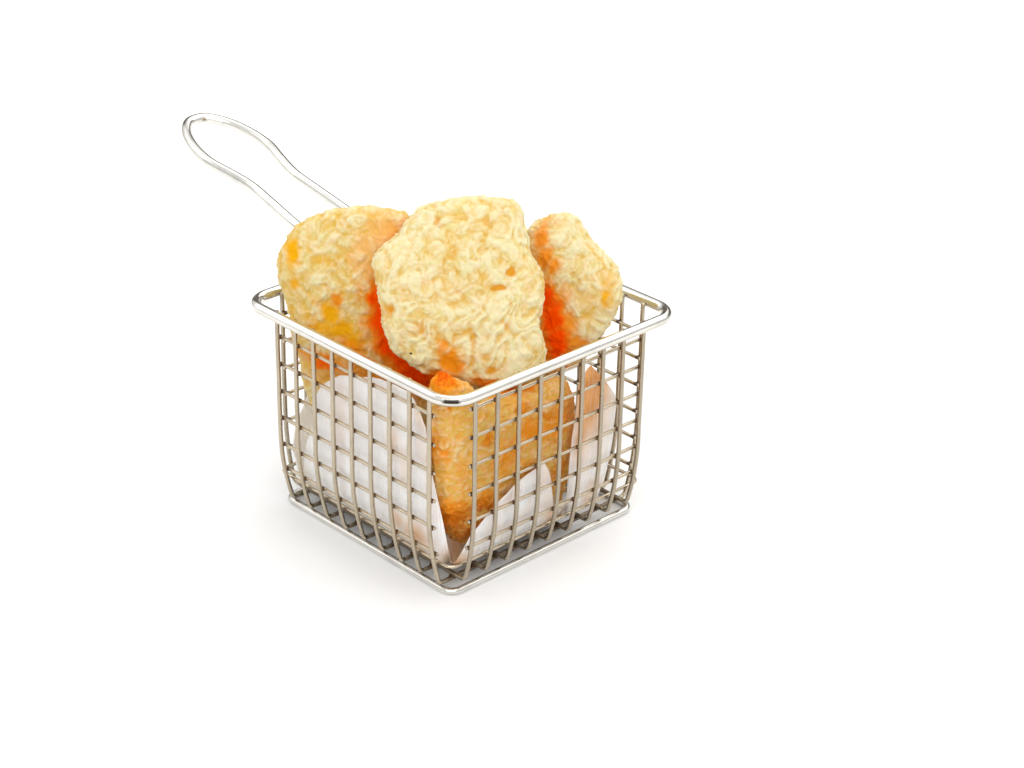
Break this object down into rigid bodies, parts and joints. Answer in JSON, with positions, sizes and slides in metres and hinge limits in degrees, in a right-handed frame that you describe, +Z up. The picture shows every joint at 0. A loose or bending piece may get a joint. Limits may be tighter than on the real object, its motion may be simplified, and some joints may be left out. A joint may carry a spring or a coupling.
{
  "type": "yam tempura",
  "caption": "Battered and fried yam slices standing in a small square wire fry basket with a looped handle and a white paper liner.",
  "frame": {"origin": "on the surface the basket stands on, under the middle of the whole outline, handle included", "axes": "+Z up, +Y from the basket along the handle, X across the basket"},
  "size_m": [0.1022, 0.1944, 0.1148],
  "materials": {
    "basket_steel": "bright polished stainless wire",
    "liner_paper": "matt white greaseproof paper",
    "crust_pale": "pale gold fried batter, craggy",
    "crust_deep": "deeper golden fried batter, craggy"
  },
  "bodies": {
    "root": {"wire_across_1": "basket_steel", "wire_across_2": "basket_steel", "wire_across_3": "basket_steel", "wire_across_4": "basket_steel", "wire_across_5": "basket_steel", "wire_across_6": "basket_steel", "wire_across_7": "basket_steel", "wire_across_8": "basket_steel", "wire_across_9": "basket_steel", "wire_along_1": "basket_steel", "wire_along_2": "basket_steel", "wire_along_3": "basket_steel", "wire_along_4": "basket_steel", "wire_along_5": "basket_steel", "wire_along_6": "basket_steel", "wire_along_7": "basket_steel", "wire_along_8": "basket_steel", "wire_along_9": "basket_steel", "bar_left_1": "basket_steel", "bar_left_2": "basket_steel", "bar_left_3": "basket_steel", "bar_left_4": "basket_steel", "bar_left_5": "basket_steel", "bar_left_6": "basket_steel", "bar_right_1": "basket_steel", "bar_right_2": "basket_steel", "bar_right_3": "basket_steel", "bar_right_4": "basket_steel", "bar_right_5": "basket_steel", "bar_right_6": "basket_steel", "bar_front_1": "basket_steel", "bar_front_2": "basket_steel", "bar_front_3": "basket_steel", "bar_front_4": "basket_steel", "bar_front_5": "basket_steel", "bar_front_6": "basket_steel", "bar_back_1": "basket_steel", "bar_back_2": "basket_steel", "bar_back_3": "basket_steel", "bar_back_4": "basket_steel", "bar_back_5": "basket_steel", "bar_back_6": "basket_steel", "basket_rim": "basket_steel", "basket_base_ring": "basket_steel", "basket_foot": "basket_steel", "basket_handle": "basket_steel", "paper_liner": "liner_paper", "tempura_middle": "crust_pale", "tempura_left": "crust_pale", "tempura_right": "crust_pale", "tempura_front": "crust_deep"}
  },
  "joints": []
}
